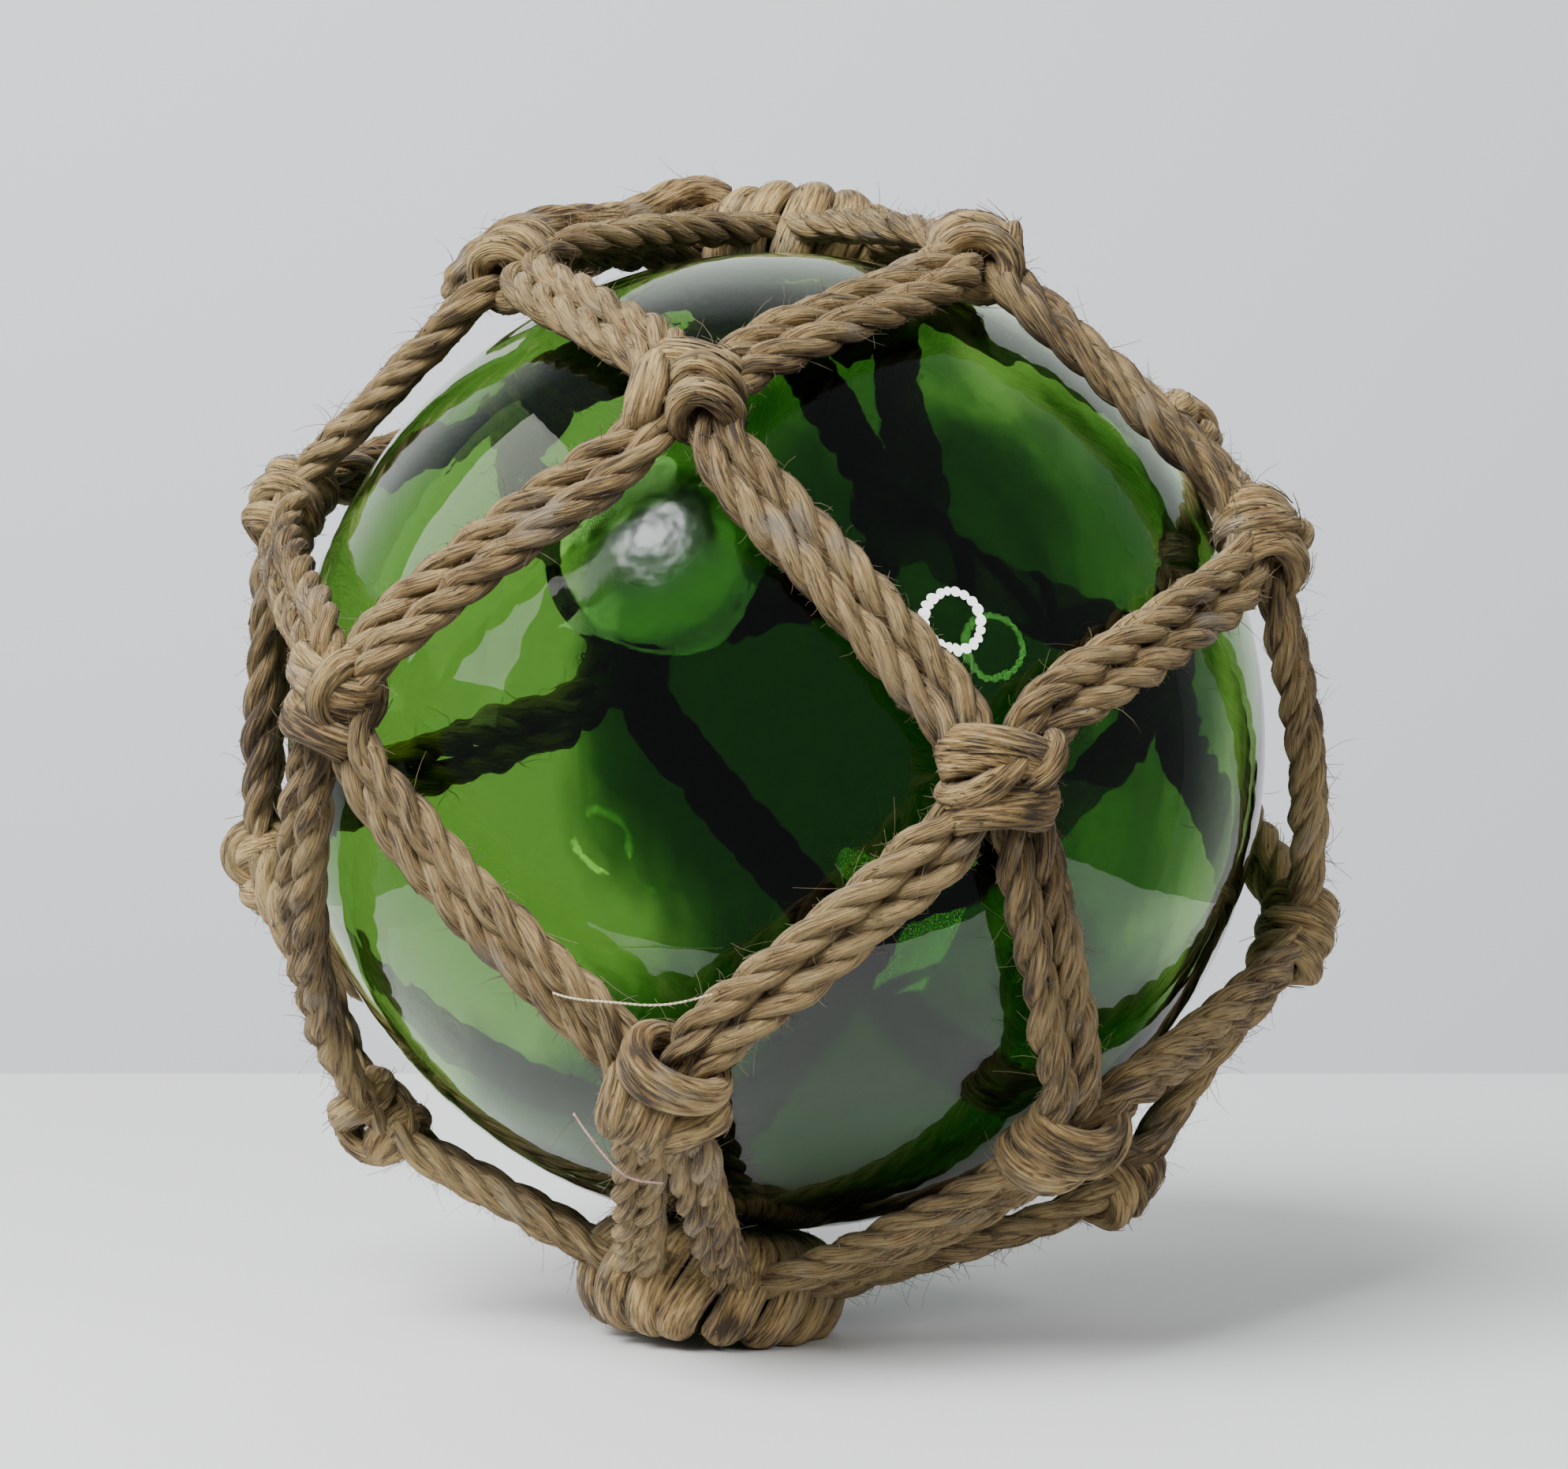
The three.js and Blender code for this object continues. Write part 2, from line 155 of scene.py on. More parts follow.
class Tubes:
    """Gathers the tubes of one piece, which become one mesh with a UV map along each tube."""

    def __init__(self):
        self.points = []
        self.corners = []  # of each face in turn, as numbers of points
        self.sizes = []  # how many corners each face has
        self.uvs = []
        self.finishes = []  # of each face: 0 for rope, 1 for loose fibres
        self.count = 0
        self.tubes = 0

    def add(self, centres, sides, ups, profile, closed=False, finish=0):
        """Sweeps a profile along centres. sides and ups are its scaled axes at each centre."""
        centres, sides, ups = np.asarray(centres), np.asarray(sides), np.asarray(ups)
        profile = np.asarray(profile)
        if profile.ndim == 2:
            profile = np.broadcast_to(profile, (len(centres), *profile.shape))
        rings, around = profile.shape[:2]
        swept = (centres[:, None] + profile[..., 0:1] * sides[:, None]
                 + profile[..., 1:2] * ups[:, None])
        self.points.append(swept.reshape(-1, 3))
        joined = np.vstack([centres, centres[:1]]) if closed else centres
        along = np.concatenate([[0], np.cumsum(np.linalg.norm(np.diff(joined, axis=0), axis=1))])
        spans = len(joined) - 1

        ring, corner = np.meshgrid(range(spans), range(around), indexing="ij")
        ring, corner = ring.ravel(), corner.ravel()
        here, after, beside = ring * around, (ring + 1) % rings * around, (corner + 1) % around
        quads = [here + corner, here + beside, after + beside, after + corner]
        self.corners.append(np.stack(quads, axis=1).ravel() + self.count)
        self.sizes += [4] * len(ring)
        start = self.tubes * TUBE_SHIFT
        low, high = start + corner / around, start + (corner + 1) / around
        near, far = along[ring], along[ring + 1]
        mapped = np.stack([low, near, high, near, high, far, low, far], axis=1)
        self.uvs.append(mapped.reshape(-1, 2))
        if not closed:
            cap = np.arange(around)
            self.corners += [self.count + cap[::-1], self.count + (rings - 1) * around + cap]
            self.sizes += [around, around]
            self.uvs += [np.tile([start, 0], (around, 1)), np.tile([start, along[-1]], (around, 1))]
        self.finishes += [finish] * (len(self.sizes) - len(self.finishes))
        self.count += rings * around
        self.tubes += 1

    def piece(self, name):
        """Makes the gathered tubes a piece of the part. What meets the floor is pressed flat."""
        points = place(np.concatenate(self.points))
        points[:, 2] = np.maximum(points[:, 2], FLOOR_GAP * MM)
        corners = np.concatenate(self.corners)
        mesh = bpy.data.meshes.new(name)
        mesh.vertices.add(len(points))
        mesh.vertices.foreach_set("co", points.ravel())
        mesh.loops.add(len(corners))
        mesh.loops.foreach_set("vertex_index", corners)
        mesh.polygons.add(len(self.sizes))
        mesh.polygons.foreach_set("loop_start", np.cumsum([0] + self.sizes[:-1]))
        mesh.update(calc_edges=True)
        mesh.uv_layers.new(name="along").data.foreach_set("uv", np.concatenate(self.uvs).ravel())
        mesh.polygons.foreach_set("use_smooth", [True] * len(self.sizes))
        mesh.materials.append(jute)
        mesh.materials.append(loose_jute)
        mesh.polygons.foreach_set("material_index", self.finishes)
        piece = bpy.data.objects.new(name, mesh)
        bpy.context.scene.collection.objects.link(piece)
        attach(piece, "root")
        return piece


def round_profile(sides):
    """A closed round section of radius 1, turning from the side axis to the up axis."""
    angles = np.arange(sides) * 2 * math.pi / sides
    return np.stack([np.cos(angles), np.sin(angles)], axis=1)


def lobed_profile(turns, depth=0.22, sides=24):
    """The outline of three strands in a rope, turned on by the lay: one outline for each turn."""
    angles = np.arange(sides) * 2 * math.pi / sides
    lobes = 0.5 + 0.5 * np.cos(STRANDS * (angles[None, :] - turns[:, None]))
    reach = 1.02 - depth + depth * lobes ** 0.6
    return np.stack([reach * np.cos(angles), reach * np.sin(angles)], axis=-1)


def unit(vectors):
    return vectors / np.linalg.norm(vectors, axis=-1, keepdims=True)


def resampled(points, step):
    """Points along a polyline at an even step, from its first to its last."""
    points = np.asarray(points, dtype=float)
    along = np.concatenate([[0], np.cumsum(np.linalg.norm(np.diff(points, axis=0), axis=1))])
    count = max(3, int(round(along[-1] / step)) + 1)
    places = np.linspace(0, along[-1], count)
    columns = [np.interp(places, along, points[:, axis]) for axis in range(3)]
    return np.stack(columns, axis=1), places


def smoothed(points, rounds):
    """A polyline with its corners rounded off and its ends kept."""
    points = np.array(points, dtype=float)
    for _ in range(rounds):
        points[1:-1] = (points[:-2] + 2 * points[1:-1] + points[2:]) / 4
    return points


def tangents(points):
    return unit(np.gradient(points, axis=0))


def wander(chance, count, scale, spacing):
    """A slow random wander along a tube, one number for each of its points."""
    knots = np.array([chance.gauss(0, scale) for _ in range(count // spacing + 3)])
    return np.interp(np.arange(count) / spacing, np.arange(len(knots)), knots)


def axes_along(path, out):
    """The ways across and outward at each point of a path, both square to it."""
    forward = tangents(path)
    up = unit(out - np.sum(out * forward, axis=1, keepdims=True) * forward)
    return np.cross(forward, up), up


def lay_rope(tubes, route, sizes, start, chance):
    """Lays a rope of three strands along a route. sizes gives its thickness at each point."""
    centres, along = resampled(smoothed(route, 3), STRAND["step"])
    count = len(centres)
    scale = np.interp(np.linspace(0, 1, count), np.linspace(0, 1, len(sizes)), sizes)
    side, out = axes_along(centres, unit(centres))
    section = round_profile(STRAND["sides"])
    lay = 2 * math.pi * along / STRAND["pitch"]
    for strand in range(STRANDS):
        turn = start + strand * 2 * math.pi / STRANDS - lay + wander(chance, count, 0.13, 6)
        reach = (STRAND["offset"] + wander(chance, count, 0.13, 5)) * scale
        path = (centres + (np.cos(turn) * reach)[:, None] * side
                + (np.sin(turn) * reach)[:, None] * out)
        aside, up = axes_along(path, out)
        size = (STRAND["radius"] + wander(chance, count, 0.11, 4)) * scale
        tubes.add(path, -aside * size[:, None], up * size[:, None], section)
        surface_fibres(tubes, path, aside, up, size, chance, int(count * FIBRES_A_POINT))
    stray_hairs(tubes, centres, side, out, ROPE / 2 * scale, chance, count * HAIRS_A_POINT)
    fuzz(tubes, centres, side, out, ROPE / 2 * scale, chance, count * HAIRS_A_POINT)


FIBRE = round_profile(3)
FIBRE_SKEW = np.array([0.31, 0.52, 0.79])  # a way that no fibre runs, to set its section square
FIBRES_A_POINT = 0.75  # of each strand, and the hairs of each kind for each point of a rope
HAIRS_A_POINT = 2


def fibre(tubes, path, radius):
    """A thin fibre along a few points."""
    forward = tangents(path)
    across = unit(np.cross(forward, FIBRE_SKEW))
    up = np.cross(forward, across)
    taper = np.linspace(1, 0.5, len(path))[:, None] * radius
    tubes.add(path, -across * taper, up * taper, FIBRE, finish=1)


def surface_fibres(tubes, path, aside, up, size, chance, count):
    """Fibres that lie along a strand and stand a little proud of it."""
    for _ in range(count):
        first = chance.randrange(len(path))
        length = chance.randrange(4, 9)
        angle = chance.uniform(0, 2 * math.pi)
        drift = chance.gauss(0, 0.2)
        points = []
        for i in range(first, min(first + length, len(path)), 2):
            turn = angle + drift * (i - first)
            lift = size[i] * (1.01 + 0.13 * chance.random())
            points.append(path[i] + lift * (math.cos(turn) * aside[i] + math.sin(turn) * up[i]))
        if len(points) > 2:
            fibre(tubes, smoothed(points, 1), chance.uniform(0.06, 0.14))


def fuzz(tubes, centres, side, out, reach, chance, count):
    """The short down of a rope: fibre ends of about a millimetre."""
    forward = tangents(centres)
    for _ in range(count):
        i = chance.randrange(len(centres))
        turn = chance.uniform(-0.3, math.pi + 0.3)
        away = math.cos(turn) * side[i] + math.sin(turn) * out[i]
        heading = unit(away + chance.uniform(-1.6, 1.6) * forward[i])
        root = centres[i] + away * reach[i] * 0.86
        length = chance.uniform(0.7, 1.7)
        bend = np.array([chance.gauss(0, 0.2) for _ in range(3)])
        points = np.array([root, root + heading * length * 0.55, root + (heading + bend) * length])
        fibre(tubes, points, chance.uniform(0.03, 0.05))


def stray_hairs(tubes, centres, side, out, reach, chance, count):
    """Fine hairs that stand off a rope, most of them short and swept along it."""
    forward = tangents(centres)
    for _ in range(count):
        i = chance.randrange(len(centres))
        turn = chance.uniform(-0.4, math.pi + 0.4)
        away = math.cos(turn) * side[i] + math.sin(turn) * out[i]
        sweep = chance.choice([-1, 1]) * chance.uniform(0.5, 2.2) * forward[i]
        curl = np.array([chance.gauss(0, 0.5) for _ in range(3)])
        heading = unit(away + sweep)
        length = min(chance.expovariate(1 / 1.9) + 0.8, 7)
        points = [centres[i] + away * reach[i] * 0.8]
        for _ in range(3):
            heading = unit(heading + 0.35 * curl)
            points.append(points[-1] + heading * length / 3)
        fibre(tubes, np.array(points), chance.uniform(0.035, 0.075))


# ---- where the knots and the legs lie ---------------------------------------------------------

def ring_axis(ring):
    return direction(90 - ring["tilt"], ring["bearing"])


knot_places = [
    [direction(row["latitude"] + rise, bearing)
     for bearing, rise in zip(row["bearing"], row["rise"])]
    for row in KNOT_ROWS
]
COLUMNS = len(knot_places[0])


def neighbours(r, k):
    """What a knot is tied to above it and below it."""
    east = k if r % 2 == 0 else (k + 1) % COLUMNS
    west = (east - 1) % COLUMNS

    def row(number, ring):
        if number in range(len(knot_places)):
            return [knot_places[number][east], knot_places[number][west]]
        return [ring_axis(ring)]

    return row(r + 1, TOP_RING), row(r - 1, BOTTOM_RING)


class Knot:
    """A knot's place and axes: east, north along its parting line, and outward."""

    def __init__(self, r, k):
        self.out = knot_places[r][k]
        self.lift = KNOT_ROWS[r]["lift"][k]
        north = Vector()
        for others, sign in zip(neighbours(r, k), (1, -1)):
            for other in others:
                north += sign * (other - other.dot(self.out) * self.out).normalized()
        turn = math.radians(KNOT["turn"] * math.sin(2.4 * k + 1.7 * r))
        self.north = Quaternion(self.out, turn) @ north.normalized()
        self.east = self.north.cross(self.out)
        self.middle = self.out * (KNOT_HEIGHT + self.lift)

    def point(self, x, y, z=0):
        return self.middle + x * self.east + y * self.north + z * self.out

    def beside(self, side, up, inset=KNOT["inset"]):
        """The way out from the ball's centre to where a run of a cord sets off."""
        return self.point(side * inset, up * KNOT["height"] / 2).normalized()


knots = [[Knot(r, k) for k in range(COLUMNS)] for r in range(len(KNOT_ROWS))]


def ring_end(ring, knot, partner):
    """Where the leg of a cord dives into a pole ring."""
    axis = ring_axis(ring)
    between = knot.out + partner.out
    out = (between - between.dot(axis) * axis).normalized()
    across = axis.cross(out)
    across *= math.copysign(LEG["spread"], across.dot(knot.out))
    return (axis * RING_HEIGHT + out * (RING["radius"] + LEG["inset"]) + across).normalized()


def arc_points(start, end, heights, spreads, count):
    """Points over the ball from start to end: each with its way across and its spread."""
    across = start.cross(end).normalized()
    arc = start.angle(end)
    stations = []
    for i in range(count):
        s = i / (count - 1)
        outward = Quaternion(across, s * arc) @ start
        stations.append((outward * heights(s), across, spreads(s)))
    return stations


RUN_POINTS = 14  # of a cord's way from one knot to the next
# Inside a knot a cord keeps to its own side, and its two ropes are drawn together.
THROUGH = {"along": (-0.3, 0, 0.3), "aside": 3.2, "out": -0.6, "spread": 0.62}


def cord_stations(column, first):
    """The way of a doubled cord from the bottom ring, through a knot of each row, to the top.

    first is the side of its lowest knot that the cord passes, 1 for the east and -1 for the
    west. The sides change from row to row. Also returns each knot with that side.
    """
    way = []
    for r in range(len(knots)):
        shift = -1 if first < 0 and r % 2 == 1 else 0
        way.append((knots[r][(column + shift) % COLUMNS], first if r % 2 == 0 else -first))
    low_partner = knots[0][(column + first) % COLUMNS]
    top_partner = knots[-1][(column - (1 if first > 0 else 0)) % COLUMNS]

    def leg(ring, knot, partner, side, up):
        def height(s):
            straight = LEG["height"] + (KNOT_HEIGHT + knot.lift - LEG["height"]) * s
            return straight - LEG["sag"] * 4 * s * (1 - s)

        def spread(s):
            return LEG["slim"][0] + (LEG["slim"][1] - LEG["slim"][0]) * s

        start, end = ring_end(ring, knot, partner), knot.beside(side, up, LEG["mouth"])
        return arc_points(start, end, height, spread, RUN_POINTS)

    def run(knot, after, side):
        def height(s):
            on_glass = ROPE_HEIGHT + (KNOT_HEIGHT - ROPE_HEIGHT) * abs(2 * s - 1) ** 3
            return on_glass + knot.lift + (after.lift - knot.lift) * s

        start, end = knot.beside(side, 1), after.beside(-side, -1)
        return arc_points(start, end, height, lambda s: 1, RUN_POINTS)

    stations = leg(BOTTOM_RING, way[0][0], low_partner, way[0][1], -1)
    for r, (knot, side) in enumerate(way):
        for along in THROUGH["along"]:
            inside = knot.point(side * THROUGH["aside"], along * KNOT["height"], THROUGH["out"])
            stations.append((inside, -knot.east, THROUGH["spread"]))
        if r + 1 < len(way):
            stations += run(knot, way[r + 1][0], side)
    top = leg(TOP_RING, way[-1][0], top_partner, way[-1][1], 1)
    stations += [(point, -across, spread) for point, across, spread in reversed(top)]
    return stations, way


# ---- knots ------------------------------------------------------------------------------------

# The bands of rope that show on a knot: x and y of the band's middle, the angle that it runs at,
# half of its length, how far it stands out, and its width as a share of the usual one.
KNOT_STYLES = {
    "two turns": [(0, 3.4, -6, 9.3, 0, 1.08), (0.3, -3.2, 5, 8.8, 0.2, 1.08),
                  (-1.6, 0.4, 28, 8.2, 0.7, 0.6), (4.6, 1.4, 56, 6.8, 0.8, 0.5)],
    "three turns": [(0, 5, 2, 8.6, 0, 0.8), (0.2, 0, -5, 9.4, 0.4, 0.85), (0, -5, 4, 8.8, 0, 0.8)],
    "side lobe": [(-5.6, 0.2, 78, 7.8, 0, 0.85), (0.6, 5.2, -6, 8.2, -0.4, 0.85),
                  (2.6, 1.4, 3, 6.8, 0.9, 0.72), (2.9, -2.9, 8, 6.8, 0.6, 0.75)],
    "fist": [(-5.4, -1, 84, 7.2, -0.2, 0.75), (-2.6, -1.2, 64, 8, 0.5, 0.6),
             (0.4, -2.8, 60, 7.6, 0.9, 0.7), (2.2, 4.2, -34, 8.6, 0.8, 1.0),
             (3.4, -3.4, 12, 7, 0.2, 0.85)],
    "curl": [(-1, -4, 10, 9.4, 0, 0.8), (-0.6, -0.4, 14, 9.2, 0.5, 0.75),
             (0, 3.4, 20, 8.6, 0.3, 0.75), (5.4, 0.6, 70, 7.2, 0.6, 0.65)],
    "cross": [(0, 3.8, 8, 9.2, 0, 0.9), (-0.4, -3.8, 16, 8.8, 0, 0.9), (0.6, 0, -48, 9, 1.2, 0.85)],
    "over": [(0, 3.4, -16, 9.4, 0.2, 1.0), (-1, -3.6, -22, 8.8, 0, 0.9),
             (4.6, 1, 74, 7.2, 0.8, 0.65)],
}
# The style of each knot, by row and column.
KNOT_LOOKS = [
    ["fist", "curl", "two turns", "three turns", "cross"],
    ["two turns", "three turns", "cross", "over", "over"],
    ["side lobe", "two turns", "over", "cross", "three turns"],
    ["over", "cross", "two turns", "side lobe", "three turns"],
]
# How tightly each knot is drawn up, as a share of the usual size.
KNOT_DRAWN = [
    [1, 0.95, 0.86, 0.9, 0.88],
    [0.98, 0.88, 0.9, 0.88, 0.94],
    [0.88, 0.88, 0.9, 0.88, 0.82],
    [0.8, 0.85, 0.9, 0.85, 0.74],
]


def band_profile(count, thirds):
    """The outlines along a closed band of rope, whose lay turns on by some thirds of a turn."""
    return lobed_profile(-np.arange(count) / count * thirds * 2 * math.pi / STRANDS, depth=0.2)


def tie_knot(tubes, knot, style, drawn, chance):
    """Wraps a knot in the closed bands of its style."""
    count = BAND["stations"]
    depth = KNOT["thickness"] / 2 - BAND["thickness"] / 2 + 0.2
    for x, y, angle, half, proud, share in KNOT_STYLES[style]:
        turn = math.radians(angle + chance.gauss(0, 4))
        run = math.cos(turn) * knot.east + math.sin(turn) * knot.north
        width_way = np.array(run.cross(knot.out))
        run, out = np.array(run), np.array(knot.out)
        x, y = drawn * x + chance.gauss(0, 0.3), drawn * y + chance.gauss(0, 0.25)
        middle = np.array(knot.point(x, y))
        reach = drawn * half - BAND["thickness"] / 2
        centres, sides, ups = [], [], []
        bulge = chance.uniform(0, 2 * math.pi)
        for i in range(count):
            turn = 2 * math.pi * i / count
            swell = 1 + 0.06 * math.sin(2 * turn + bulge)
            high = depth * math.sin(turn) + proud * max(0, math.sin(turn))
            centre = middle + run * reach * math.cos(turn) + out * high
            normal = unit(run * math.cos(turn) / reach + out * math.sin(turn) / depth)
            centres.append(centre + width_way * 0.5 * math.sin(turn * 2 + bulge))
            sides.append(width_way * BAND["width"] / 2 * share * drawn * swell)
            ups.append(normal * BAND["thickness"] / 2 * (1.04 - 0.06 * swell))
        centres, sides, ups = (np.array(rows) for rows in (centres, sides, ups))
        tubes.add(centres, sides, ups, band_profile(count, 2), closed=True)
        band_fibres(tubes, centres, sides, ups, chance, 60)


def band_fibres(tubes, centres, sides, ups, chance, count):
    """Fibres along a flattened band, and a few hairs that leave it."""
    total = len(centres)
    for _ in range(count):
        first = chance.randrange(total)
        length = chance.randrange(4, 9)
        angle = chance.uniform(0.1, math.pi - 0.1)
        drift = chance.gauss(0, 0.05)
        loose = chance.random() < 0.3
        points = []
        for step in range(0, length, 2):
            i = (first + step) % total
            turn = angle + drift * step
            lift = 1.03 + (0.16 * step * step / length if loose else 0)
            points.append(centres[i] + math.cos(turn) * sides[i] + math.sin(turn) * lift * ups[i])
        if len(points) > 2:
            fibre(tubes, smoothed(points, 1), chance.uniform(0.05, 0.13))


# ---- materials ----------------------------------------------------------------------------------

# The tones of the rope from dark to pale, which its streaks take at random, and of the fibres that
# stand off it.
ROPE_TONES = ((0.038, 0.02, 0.006), (0.215, 0.132, 0.045), (0.44, 0.305, 0.13))
FIBRE_TONES = ((0.24, 0.15, 0.06), (0.44, 0.31, 0.155), (0.64, 0.51, 0.31))
DUST = (0.36, 0.33, 0.27)
# The glass's clear green, and the dark green of its darker streaks and of the shade painted into
# it.
CLEARER = (0.6, 0.84, 0.34)
STREAK_AND_SHADE_GREEN = (0.09, 0.25, 0.06)
# In shares of the ball's radius: where the line of painted shade passes, for the shade seen through
# the ball, and how far down the painted shade of the foot begins, for the shadowed floor seen
# through it.
PAINTED_SHADE_LINE = {"x": 0.2, "z": 0.12}
PAINTED_SHADE_FOOT = {"below": 0.33, "share": 1.3}


class Graph:
    """A material and short ways to add nodes to it."""

    def __init__(self, name):
        self.material = bpy.data.materials.new(name)
        self.material.use_nodes = True
        self.nodes = self.material.node_tree.nodes
        self.links = self.material.node_tree.links
        self.shader = self.nodes["Principled BSDF"]

    def give(self, node, inputs):
        """Sets inputs of a node, or links them where the value is another node's output."""
        for name, value in inputs.items():
            if isinstance(value, bpy.types.NodeSocket):
                self.links.new(value, node.inputs[name])
            else:
                node.inputs[name].default_value = value

    def add(self, kind, output, inputs, **settings):
        """Adds a node and gives back one of its outputs."""
        node = self.nodes.new("ShaderNode" + kind)
        for name, value in settings.items():
            setattr(node, name, value)
        self.give(node, inputs)
        return node.outputs[output]

    def maths(self, operation, first, second=0):
        return self.add("Math", "Value", {0: first, 1: second}, operation=operation)

    def noise(self, vector, scale, detail=2, roughness=0.5):
        return self.add("TexNoise", "Fac", {"Vector": vector, "Scale": scale, "Detail": detail,
                                            "Roughness": roughness})

    def stretched(self, vector, scale, rotation=(0, 0, 0)):
        """Coordinates for a noise that is stretched along one way."""
        return self.add("Mapping", "Vector", {"Vector": vector, "Scale": scale,
                                              "Rotation": rotation})

    def ramp(self, value, *stops):
        """A colour for each value. stops are places with their colours."""
        ramp = self.nodes.new("ShaderNodeValToRGB")
        elements = ramp.color_ramp.elements
        while len(elements) < len(stops):
            elements.new(0.5)
        for element, (position, colour) in zip(elements, stops):
            element.position, element.color = position, (*colour, 1)
        self.give(ramp, {"Fac": value})
        return ramp.outputs["Color"]

    def bump(self, height, strength, distance):
        return self.add("Bump", "Normal", {"Height": height, "Strength": strength,
                                           "Distance": distance})


def plain(name, colour, roughness):
    graph = Graph(name)
    graph.give(graph.shader, {"Base Color": (*colour, 1), "Roughness": roughness})
    return graph.material


def make_jute(name, dark, middle, pale):
    """Jute: fibre streaks along each strand, tones that change on the way, and patches of dust."""
    graph = Graph(name)
    along = graph.add("UVMap", "UV", {}, uv_map="along")
    place_in_part = graph.add("TexCoord", "Object", {})

    def streaks(around, length, detail):
        return graph.noise(graph.stretched(along, (around, length, 1)), 1, detail, 0.6)

    def mixed(first, second, share):
        return graph.add("Mix", "Result", {"Factor": share, "A": first, "B": second},
                         data_type="FLOAT")

    fine = streaks(36, 0.22, 4)
    strands = mixed(fine, streaks(9, 0.12, 2), 0.38)
    tone = mixed(strands, graph.noise(place_in_part, 45), 0.25)
    colour = graph.ramp(tone, (0.42, dark), (0.48, middle), (0.565, pale))
    dust = graph.add("MapRange", "Result", {
        "Value": graph.noise(place_in_part, 110), "From Min": 0.58, "From Max": 0.78,
        "To Max": 0.45})
    dusted = graph.add("Mix", "Result", {"Factor": dust, "A": colour, "B": (*DUST, 1)},
                       data_type="RGBA")
    graph.give(graph.shader, {
        "Base Color": dusted, "Roughness": 0.8, "Specular IOR Level": 0.3, "Sheen Weight": 0.1,
        "Sheen Roughness": 0.5, "Normal": graph.bump(fine, 1.0, 0.0012)})
    return graph.material


def make_glass():
    """Green bottle glass: darker and clearer streaks, and shade painted into its colour that makes
    it darkest in front and at the foot, with a ripple all over and a crumpled seal."""
    graph = Graph("green_glass")
    maths = graph.maths
    radius = GLASS_RADIUS * MM
    place_in_part = graph.add("TexCoord", "Object", {})
    absorption = graph.add("VolumeAbsorption", "Volume", {"Color": (0.1, 0.35, 0.05, 1),
                                                          "Density": 90})
    graph.give(graph.nodes["Material Output"], {"Volume": absorption})

    # Painted shade: the glass is made darkest near a line through the ball from front to back, for
    # the shade seen through it, and low down, for the shadowed floor seen through its foot.
    centred = graph.add("Mapping", "Vector", {"Vector": place_in_part, "Location": -CENTRE})
    split = graph.nodes.new("ShaderNodeSeparateXYZ")
    graph.give(split, {"Vector": centred})
    sideways = maths("SUBTRACT", split.outputs["X"], PAINTED_SHADE_LINE["x"] * radius)
    upwards = maths("SUBTRACT", split.outputs["Z"], PAINTED_SHADE_LINE["z"] * radius)
    squares = maths("ADD", maths("MULTIPLY", sideways, sideways),
                    maths("MULTIPLY", upwards, upwards))
    # depth is the painted shade of the dark line, greatest on it and less towards the rim; it is
    # not the glass's thickness.
    depth = maths("SUBTRACT", 1, maths("DIVIDE", maths("SQRT", squares), radius))
    # The painted shade of the foot, for the shadowed floor seen through it: the lower the glass
    # below a height, the darker.
    lower = maths("SUBTRACT", maths("DIVIDE", split.outputs["Z"], -radius), PAINTED_SHADE_FOOT["below"])
    below = maths("MULTIPLY", maths("MAXIMUM", lower, 0), PAINTED_SHADE_FOOT["share"])
    slant = (0, math.radians(25), 0)
    streaks = graph.noise(graph.stretched(place_in_part, (46, 46, 16), slant), 1, 3)
    # The painted shade and the glass's own streaks together set how dark it is.
    painted_shade_and_streaks = maths("ADD", maths("ADD", depth, below), maths("SUBTRACT", streaks, 0.5))
    colour = graph.ramp(painted_shade_and_streaks, (0.33, CLEARER), (0.47, STREAK_AND_SHADE_GREEN))

    # The seal: rough, crumpled glass round the place where the ball was closed.
    seal_way = direction(SEAL["latitude"], SEAL["bearing"])
    distance = graph.add("VectorMath", "Value", {0: place_in_part,
                                                 1: CENTRE + LEANED @ seal_way * radius},
                         operation="DISTANCE")
    near = graph.add("MapRange", "Result", {"Value": distance, "From Min": 0.016,
                                            "From Max": 0.006})
    crumple = maths("MULTIPLY", graph.noise(place_in_part, 190), maths("MULTIPLY", near, 2.2))
    ripple = maths("ADD", graph.noise(place_in_part, 38, 1),
                   maths("MULTIPLY", graph.noise(place_in_part, 95), 0.3))
    graph.give(graph.shader, {
        "Base Color": colour, "IOR": 1.5, "Transmission Weight": 1.0,
        "Roughness": maths("MULTIPLY", near, 0.3),
        "Normal": graph.bump(maths("ADD", ripple, crumple), 0.3, 0.0008)})
    return graph.material


jute = make_jute("jute_rope", *ROPE_TONES)
loose_jute = make_jute("loose_jute", *FIBRE_TONES)
green_glass = make_glass()


# ---- the hanging loop, a cord of its own --------------------------------------------------------

def loop_route():
    """The loop's way over the ball: out from the top ring on one side and back on the other."""
    start = ring_axis(TOP_RING)
    aside = start.cross(direction(LOOP_TIP["latitude"], LOOP_TIP["bearing"])).normalized()
    half = []
    for along, offset, height in LOOP_ROUTE:
        half.append((Quaternion(aside, along / RING_HEIGHT) @ start * height, offset))
    points = [point + aside * offset for point, offset in half]
    points += [point - aside * offset for point, offset in reversed(half[:-1])]
    return points


def spline(points, per_span):
    """A smooth curve through points, which passes through each of them."""
    ends = [2 * points[0] - points[1]] + list(points) + [2 * points[-1] - points[-2]]
    curve = []
    for i in range(1, len(ends) - 2):
        before, a, b, after = ends[i - 1], ends[i], ends[i + 1], ends[i + 2]
        for j in range(per_span):
            t = j / per_span
            squared = (2 * before - 5 * a + 4 * b - after) * t * t
            cubed = (3 * a - before - 3 * b + after) * t ** 3
            curve.append(0.5 * (2 * a + (b - before) * t + squared + cubed))
    return curve + [ends[-2]]


